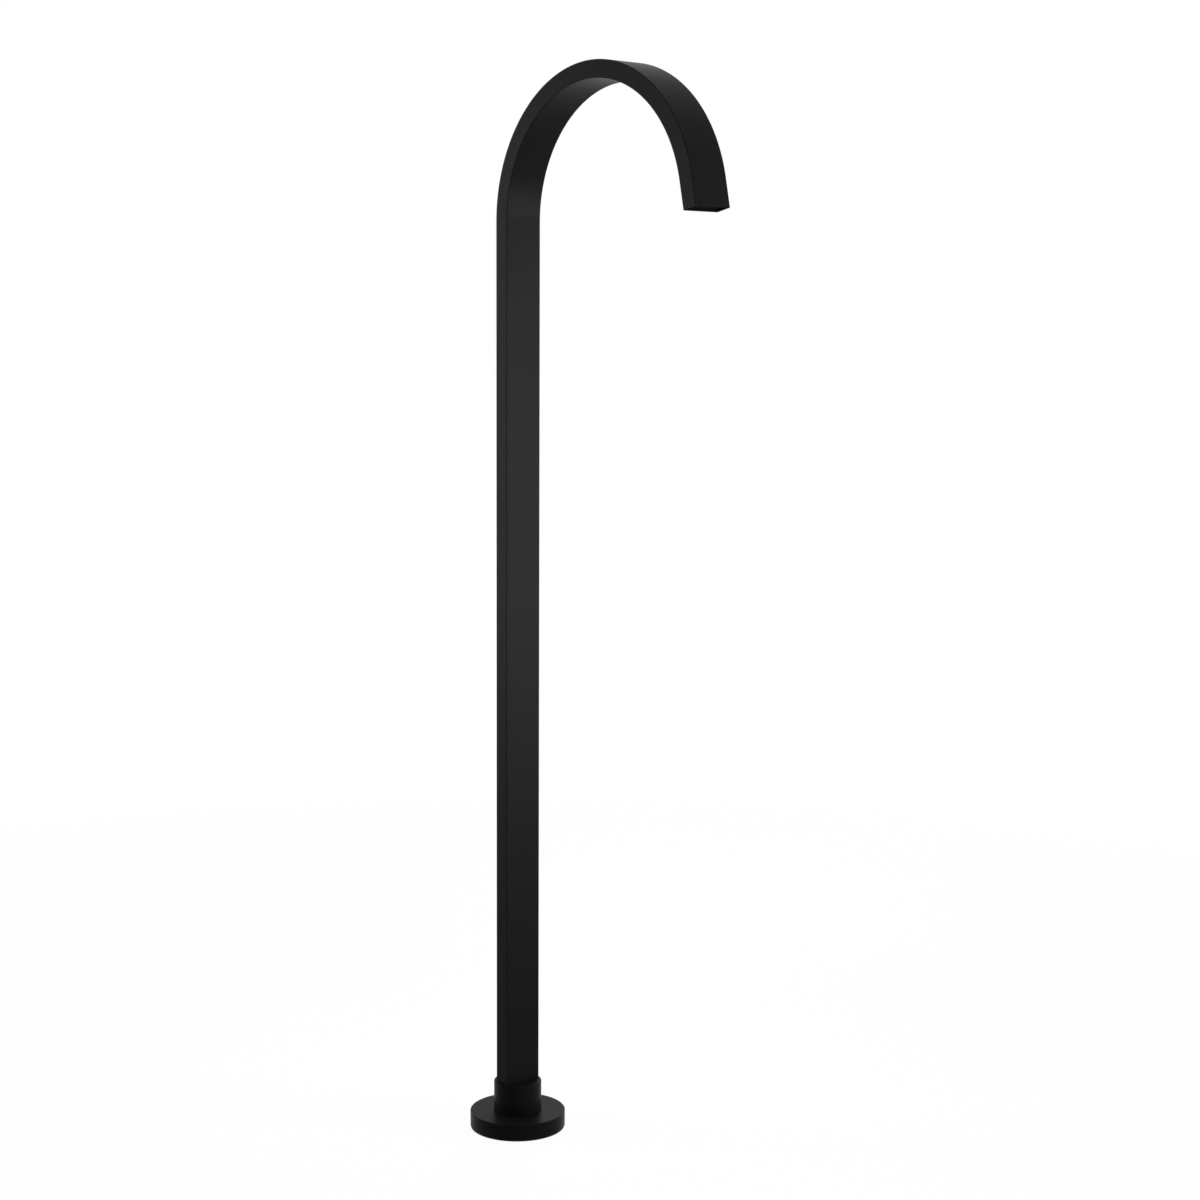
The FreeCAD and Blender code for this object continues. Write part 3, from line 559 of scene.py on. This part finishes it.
stations = np.concatenate(
    [
        np.linspace(TUBE_FOOT - BEND_LEVEL + 2.0, 0.0, 24, endpoint=False),
        np.linspace(0.0, BEND_LENGTH, 141),
        [BEND_LENGTH + 10.0, MOUTH - 2.0],
    ]
)
tube = flat_wall(
    "flat_tube", TUBE_DEPTH, TUBE_WIDTH, TUBE_WALL, (OUTER_CORNER, INNER_CORNER),
    lip=0.3, foot=TUBE_FOOT - BEND_LEVEL, mouth=MOUTH, stations=stations,
)
dress(tube, coat, "matt_black", "standpipe", "spout_tube")

# %% [markdown]
# The lip is part of the same dark line, and that dark is painted shade: the few faces that lie in the plane
# of the mouth get a second material, rougher, duller and darker in colour than the coat on the drawn faces.

# %% Paint shade on the lip of the mouth
IN_PLANE = 0.01  # in mm
faces_of_tube = tube.data.polygons
middles = np.empty(3 * len(faces_of_tube))
faces_of_tube.foreach_get("center", middles)
ahead = np.array([math.sin(mouth_lean), 0.0, math.cos(mouth_lean)])
beyond = (middles.reshape(-1, 3) / MM - [mouth_x, 0.0, mouth_z]) @ ahead
on_lip = np.abs(beyond) < IN_PLANE
# The faces of the lip get the darker material, which carries painted shade.
faces_of_tube.foreach_set("material_index", on_lip.astype(np.int32))
tube.data.materials.append(tube_lip_painted_shade)
print(on_lip.sum(), "faces on the lip")

# %% [markdown]
# ## The cover on the floor
#
# The cover is turned from bar: a cap with a thick rim, a bore that slides on the collar, a groove in the
# bore for a rubber ring and one under the rim for the seal. A lathe makes shapes of revolution, so its
# section is written as a list of radius and height, going round the section with the metal on the left,
# and is carried round the axis.

# %% Turn the cover
COVER_SECTION = [
    # radius, height, radius of the corner
    (47.0, 1.0, 0.25),
    (47.0, 16.5, 0.8),
    (23.766, 16.5, 0.35),
    (23.766, 15.45, 0.1),
    (25.666, 15.45, 0.2),
    (25.666, 13.05, 0.2),
    (23.766, 13.05, 0.1),
    (23.766, 12.0, 0.25),
    (44.0, 12.0, 1.0),
    (44.0, 1.0, 0.2),
    (44.8, 1.0, 0.1),
    (44.8, 2.3, 0.1),
    (46.2, 2.3, 0.1),
    (46.2, 1.0, 0.1),
]
ROUND_STEPS = 192

section = np.array(COVER_SECTION)
cover = turned_piece("turned_cover", section[:, :2], section[:, 2], ROUND_STEPS)
dress(cover, coat, "matt_black", "cover", "cover_flange")

# %% [markdown]
# ## Rubber seals
#
# Soft rubber is moulded in two halves, so a ring has a fine ridge where the halves met, and a strip has
# round lips. These pieces are small, and two of them show only when the cover is lifted or as a dark line
# on the floor, but a plain torus or box would look wrong there. The rings are a circle whose radius grows
# a little near the joint of the mould.

# %% Mould the rings and strips
FLASH = 0.03  # height of the ridge, less than the room beside the ring
FLASH_WIDTH = 0.08  # as an angle round the section, in radians


def rubber_ring(name, radius, thickness, height, turns=128, steps=32):
    """A ring of round section. At an angle from the mould's joint, the section's radius is half the
    thickness plus the ridge times the falling exponential of the square of angle over width."""
    angle = np.linspace(0.0, 2 * np.pi, steps, endpoint=False)
    from_joint = np.minimum(np.abs(angle - np.pi), np.minimum(angle, 2 * np.pi - angle))
    reach = thickness / 2 + FLASH * np.exp(-((from_joint / FLASH_WIDTH) ** 2))
    section = np.column_stack([radius + reach * np.cos(angle), height + reach * np.sin(angle)])
    return add_surface(name, revolve(section, turns), grid_faces(turns, steps))


swivel_ring = dict(radius=13.79, thickness=2.4)
for name, node, body, size in (
    ("lower_swivel_ring", "lower_o_ring", "base", dict(swivel_ring, height=24.8)),
    ("upper_swivel_ring", "upper_o_ring", "base", dict(swivel_ring, height=28.7)),
    ("cover_grip_ring", "cover_o_ring", "cover", dict(radius=24.566, thickness=2.0, height=14.25)),
):
    dress(rubber_ring(name, **size), rubber, "seal_rubber", body, node)

rim_strip = turned_piece(
    "cover_rim_strip",
    [
        (44.4, 0.0), (44.95, 0.0), (45.2, 0.3), (45.8, 0.3), (46.05, 0.0), (46.6, 0.0),
        (46.6, 1.0), (46.1, 1.0), (46.1, 2.2), (44.9, 2.2), (44.9, 1.0), (44.4, 1.0),
    ],
    [0.15, 0.1, 0.1, 0.1, 0.1, 0.2, 0.15, 0.05, 0.3, 0.3, 0.05, 0.15],
    ROUND_STEPS,
)
dress(rim_strip, rubber, "seal_rubber", "cover", "cover_seal")

hose_washer = turned_piece(
    "hose_washer", [(7.015, 14.5), (10.415, 14.5), (10.415, 16.1), (7.015, 16.1)], np.full(4, 0.35), 96
)
dress(hose_washer, rubber, "seal_rubber", "base", "inlet_washer")

mouth_seal = flat_wall(
    "mouth_seal", 11.0, 35.0, 1.5, (0.8, 0.8),
    lip=0.2, foot=MOUTH - 12.9, mouth=MOUTH - 11.5, stations=np.array([MOUTH - 12.2]),
)
dress(mouth_seal, rubber, "seal_rubber", "outlet_cartridge", "cartridge_seal")

# %% [markdown]
# ## The threaded spigot
#
# The collar turns on a brass spigot: a thread that goes into the plate, a hexagon for the spanner, and a
# barrel with grooves for the rings. Most of it is a plain shape of revolution, but a thread climbs as it
# turns and a hexagon isn't round. Both are still a radius for every angle and height, so one grid holds
# them all. A Screw modifier would need its own mesh, joined by a boolean, and would cost more and fit
# worse.

# %% Cut threads and a hexagon
THREAD_PITCH = 1.814
OUTER_DEPTH = 1.0
INNER_DEPTH = 1.1
HEX_FLATS = 32.0
HEX_TOP_RADIUS = 17.0  # where the turned chamfer meets the top of the hexagon


def thread_depth(angle, height, low, high):
    """From 0 at the crest to 1 at the root. The height in pitches minus the angle in turns has a part
    left over from 0 to 1, and the depth is one minus twice its distance from a half. Over one pitch at
    each end it fades to nothing, as a thread does where the tool runs out."""
    left_over = (height / THREAD_PITCH - angle / (2 * np.pi)) % 1.0
    fade = np.clip(np.minimum(height - low, high - height) / THREAD_PITCH, 0.0, 1.0)
    return (1 - 2 * np.abs(left_over - 0.5)) * fade


def hexagon_radius(angle):
    """Half the width over the flats, divided by the cosine of the angle from the nearest flat's middle."""
    return HEX_FLATS / 2 / np.cos(angle % (np.pi / 3) - np.pi / 6)


def spigot_surface(turns=144):
    angle = np.linspace(0.0, 2 * np.pi, turns, endpoint=False)[:, None]
    outer = np.linspace(2.4, 9.4, 66)
    inner = np.linspace(14.0, 2.6, 96)
    chamfer = np.linspace(13.15, 14.0, 4)
    plain = [
        # radius, height
        (15.0, 14.0), (15.0, 17.7), (13.6, 19.1), (13.6, 20.9), (15.0, 22.3),
        (15.0, 23.4), (12.53, 23.4), (12.53, 26.2), (15.0, 26.2),
        (15.0, 27.3), (12.53, 27.3), (12.53, 30.1), (15.0, 30.1),
        (15.0, 31.2), (14.0, 31.2), (14.0, 33.4), (15.0, 33.4),
        (15.0, 33.9), (14.4, 34.5), (7.9, 34.5), (7.5, 34.1),
        (7.5, 16.5), (10.615, 16.5), (10.615, 14.0),
    ]
    barrel = np.array(plain)
    hexagon = hexagon_radius(angle)
    highest = hexagon.max()
    limit = HEX_TOP_RADIUS + (highest - HEX_TOP_RADIUS) * (14.0 - chamfer) / (14.0 - chamfer[0])
    bands = [
        (12.7 + 0 * angle, [2.0]),
        (13.2 - OUTER_DEPTH * thread_depth(angle, outer, 2.4, 9.4), outer),
        (13.2 + 0 * angle, [10.0]),
        (hexagon, [10.0]),
        (np.minimum(hexagon, limit), chamfer),
        (barrel[:, 0] + 0 * angle, barrel[:, 1]),
        (9.315 + INNER_DEPTH * thread_depth(angle, inner, 2.6, 14.0), inner),
        (9.9 + 0 * angle, [2.0]),
    ]
    radius = np.concatenate([band for band, _ in bands], axis=1)
    height = np.concatenate([heights for _, heights in bands]) + 0 * angle
    points = np.stack([radius * np.cos(angle), radius * np.sin(angle), height], axis=-1)
    piece = add_surface("threaded_spigot", points.reshape(-1, 3), grid_faces(turns, radius.shape[1]))
    piece.data.set_sharp_from_angle(angle=math.radians(28))
    return piece


dress(spigot_surface(), brass, "spigot_brass", "base", "spigot")

# %% [markdown]
# ## The gasket under the plate
#
# A rubber disc lies between the plate and the floor, with four holes for the bolts. A disc with holes has
# no single grid, so it is made of four: in each quarter, rings of points spread from the round hole to
# the quarter's own outline. The four grids share their edges, where equal points become one. That is a
# flat sheet, and a Solidify modifier gives it its thickness.

# %% Lay out the gasket
GASKET_INNER = 20.0
GASKET_OUTER = 38.0
GASKET_THICKNESS = 2.0
BOLT_CIRCLE = 31.0
BOLT_HOLE = 3.25
SIDE_STEPS = 20


def quarter_outline():
    """Along the outer arc, in along one straight side, back along the inner arc, and out again."""
    swing = np.linspace(-np.pi / 4, np.pi / 4, SIDE_STEPS, endpoint=False)
    inward = np.linspace(GASKET_OUTER, GASKET_INNER, SIDE_STEPS, endpoint=False)
    outward = np.linspace(GASKET_INNER, GASKET_OUTER, SIDE_STEPS, endpoint=False)
    radius = np.concatenate([0 * swing + GASKET_OUTER, inward, 0 * swing + GASKET_INNER, outward])
    angle = np.concatenate([swing, 0 * swing + np.pi / 4, -swing, 0 * swing - np.pi / 4])
    return np.column_stack([radius * np.cos(angle), radius * np.sin(angle)])


def gasket_sheet(rings=6):
    """A point is a share of the way from the hole's rim to the outline, along a straight line from the
    hole's centre. The four quarters are the same points, turned."""
    outline = quarter_outline()
    centre = np.array([BOLT_CIRCLE, 0.0])
    direction = outline - centre
    direction /= np.linalg.norm(direction, axis=1, keepdims=True)
    rim = centre + BOLT_HOLE * direction
    share = np.linspace(0.0, 1.0, rings)[:, None, None]
    quarter = (rim + share * (outline - rim)).reshape(-1, 2)
    turn = (np.arange(4) + 0.5) * np.pi / 2
    spin = np.stack([np.cos(turn), -np.sin(turn), np.sin(turn), np.cos(turn)], axis=-1)
    whole = np.einsum("qij,pj->qpi", spin.reshape(4, 2, 2), quarter).reshape(-1, 2)
    faces = grid_faces(rings, len(outline), closed_rows=False)
    faces = (faces + len(quarter) * np.arange(4)[:, None, None]).reshape(-1, 4)
    _, first, same = np.unique(np.round(whole, 4), axis=0, return_index=True, return_inverse=True)
    flat = np.column_stack([whole[first], np.zeros(len(first))])
    return flat, same.ravel()[faces]


points, faces = gasket_sheet()
a, b, c = (points[faces[0, corner]] for corner in (0, 1, 2))
if np.cross(b - a, c - a)[2] < 0:
    faces = faces[:, ::-1]
gasket = add_surface("bolted_gasket", points, faces)
thickness = gasket.modifiers.new("thickness", "SOLIDIFY")
thickness.thickness = GASKET_THICKNESS * MM
thickness.offset = 1.0
rim = gasket.modifiers.new("rim", "BEVEL")
rim.width = 0.2 * MM
rim.segments = 2
rim.limit_method = "ANGLE"
gasket.data.set_sharp_from_angle(angle=math.radians(40))
dress(gasket, rubber, "seal_rubber", "base", "floor_gasket")

# %% [markdown]
# ## Finish what stays from the packed model
#
# The collar, the plate, the screw, the bearing rings and the pieces in the mouth have the right shape
# already. Their meshes stay as they are, and only the material in their slot changes. The record names a
# slot for each node, so a table from slot to finish is enough.

# %% Paint the packed nodes
FINISHES = {
    "matt_black": coat,
    # The finishes for outlet_black, cartridge_plastic and honeycomb_plastic carry painted shade in their
    # colour.
    "outlet_black": mouth_coat_painted_shade,
    "black_steel": black_oxide,
    "stainless_plate": stainless,
    "spigot_brass": brass,
    "sieve_steel": sheet_steel,
    "seal_rubber": rubber,
    "bearing_plastic": acetal,
    "cartridge_plastic": black_moulding_painted_shade,
    "honeycomb_plastic": grey_moulding_painted_shade,
}
slot_of = {part["node"]: part["material_slot"] for part in frame["record"]["subparts"]}
for name, node in frame["nodes"].items():
    node.data.materials[0] = FINISHES[slot_of[name]]
print("shown from the packed model:", sorted(n for n, o in frame["nodes"].items() if not o.hide_render))

# %% [markdown]
# ## The studio
#
# The photograph has a pure white ground. More light would bleach the object, so the white comes from the
# floor and the sky themselves: what the camera, a reflection or a clear view sees of them is white, while
# the light that they throw back on the object stays that of a pale grey room. The Light Path node tells
# these rays apart. The floor keeps its shaded part, so the object still has its soft shadow.

# %% Floor and sky
FLOOR_RADIUS = 40.0  # in metres
FLOOR_GREY = 0.25
FLOOR_GLOW = (0.945, 0.99)  # near the object and far away
GLOW_REACH = (0.4, 2.5)  # where the one ends and the other is reached, in metres
SKY_GREY = 0.08


def seen_directly(finish):
    """One for rays from the camera, from a glossy bounce or through a clear surface, and zero for the
    rest."""
    path = finish.node("ShaderNodeLightPath").socket.node.outputs
    seen, glossy, clear = (
        Wire(finish, path[name]) for name in ("Is Camera Ray", "Is Glossy Ray", "Is Transmission Ray")
    )
    return seen.up_to(glossy).up_to(clear)


def pale_floor():
    paint = Finish(bpy.data.materials.new("pale_floor"))
    sockets = {"Color": (FLOOR_GREY, FLOOR_GREY, FLOOR_GREY, 1.0)}
    shaded = paint.node("ShaderNodeBsdfDiffuse", {}, sockets)
    place = paint.node("ShaderNodeTexCoord", output=3)
    distance = paint.node("ShaderNodeVectorMath", {"operation": "LENGTH"}, {0: place}, output=1)
    limits = [*GLOW_REACH, *FLOOR_GLOW]
    sockets = {0: distance, **dict(enumerate(limits, 1))}
    glow_here = paint.node("ShaderNodeMapRange", {"interpolation_type": "SMOOTHSTEP"}, sockets)
    glow = paint.node("ShaderNodeEmission", {}, {"Strength": glow_here})
    both = paint.node("ShaderNodeAddShader", {}, {0: shaded, 1: glow})
    mixed = paint.node("ShaderNodeMixShader", {}, {0: seen_directly(paint), 1: shaded, 2: both})
    paint.node("ShaderNodeOutputMaterial", {}, {"Surface": mixed})
    return paint.owner


angle = np.linspace(0.0, 2 * np.pi, 96, endpoint=False)
disc = np.column_stack([np.cos(angle), np.sin(angle), 0 * angle]) * FLOOR_RADIUS
floor_mesh = bpy.data.meshes.new("floor")
floor_mesh.from_pydata(disc.tolist(), [], [list(range(len(disc)))])
floor_mesh.materials.append(pale_floor())
floor = bpy.data.objects.new("floor", floor_mesh)
bpy.context.scene.collection.objects.link(floor)

sky = Finish(bpy.data.worlds.new("sky"))
room = sky.node("ShaderNodeBackground", {}, {"Color": (SKY_GREY, SKY_GREY, SKY_GREY, 1.0)})
white = sky.node("ShaderNodeBackground", {}, {"Color": (1.0, 1.0, 1.0, 1.0)})
mixed = sky.node("ShaderNodeMixShader", {}, {0: seen_directly(sky), 1: room, 2: white})
sky.node("ShaderNodeOutputWorld", {}, {"Surface": mixed})
bpy.context.scene.world = sky.owner
print("floor and sky are white to the camera")

# %% [markdown]
# ## Four soft lamps
#
# A black object is lit by what it mirrors. A large soft lamp overhead shows in the top of the cover and in
# the crown of the arch. A smaller one stands at half height on either side, where the broad and the narrow
# face of the riser mirror it, so both fade towards the floor. Their beams are narrow and pass over the
# collar and the cover. The fourth stands behind and gives the top of the cover its sheen. Area lamps give
# such soft light. Each is placed by its middle and what it faces.

# %% Hang the lamps
LAMPS = [
    # name, middle, facing, width, height, power in watts, spread in degrees
    ("overhead", (0.30, -0.10, 2.60), (0.10, 0.0, 0.0), 1.8, 1.8, 1.8, 120.0),
    ("right", (1.50, 1.20, 0.54), (0.0, 0.0, 0.62), 0.6, 0.9, 1.45, 38.0),
    ("left", (-1.42, -1.30, 0.68), (0.08, 0.0, 0.72), 0.8, 1.15, 1.05, 40.0),
    ("behind", (-1.15, 1.60, 1.10), (0.0, 0.0, 0.02), 0.8, 0.6, 0.65, 60.0),
]


def hang(name, middle, facing, width, height, power, spread):
    """A lamp shines along its own -Z, so its Z axis points from what it faces back to the lamp."""
    back = np.array(middle) - np.array(facing)
    back /= np.linalg.norm(back)
    across = np.cross([0.0, 1.0, 0.0] if abs(back[2]) > 0.9 else [0.0, 0.0, 1.0], back)
    across /= np.linalg.norm(across)
    placing = np.eye(4)
    placing[:3, :3] = np.column_stack([across, np.cross(back, across), back])
    placing[:3, 3] = middle
    lamp = bpy.data.objects.new(name, bpy.data.lights.new(name, "AREA"))
    lamp.data.shape = "RECTANGLE"
    lamp.data.size = width
    lamp.data.size_y = height
    lamp.data.energy = power
    lamp.data.spread = math.radians(spread)
    lamp.matrix_world = Matrix(placing.tolist())
    lamp.visible_camera = False
    bpy.context.scene.collection.objects.link(lamp)
    print(f"{name}: {power} W at {middle}")


for lamp in LAMPS:
    hang(*lamp)
bpy.context.scene.view_settings.view_transform = "Standard"

# %% [markdown]
# ## Size and finish
#
# The dressed object has to fill the same box as the packed one. Each new piece prints how far it reaches
# outside its packed box as it is dressed.
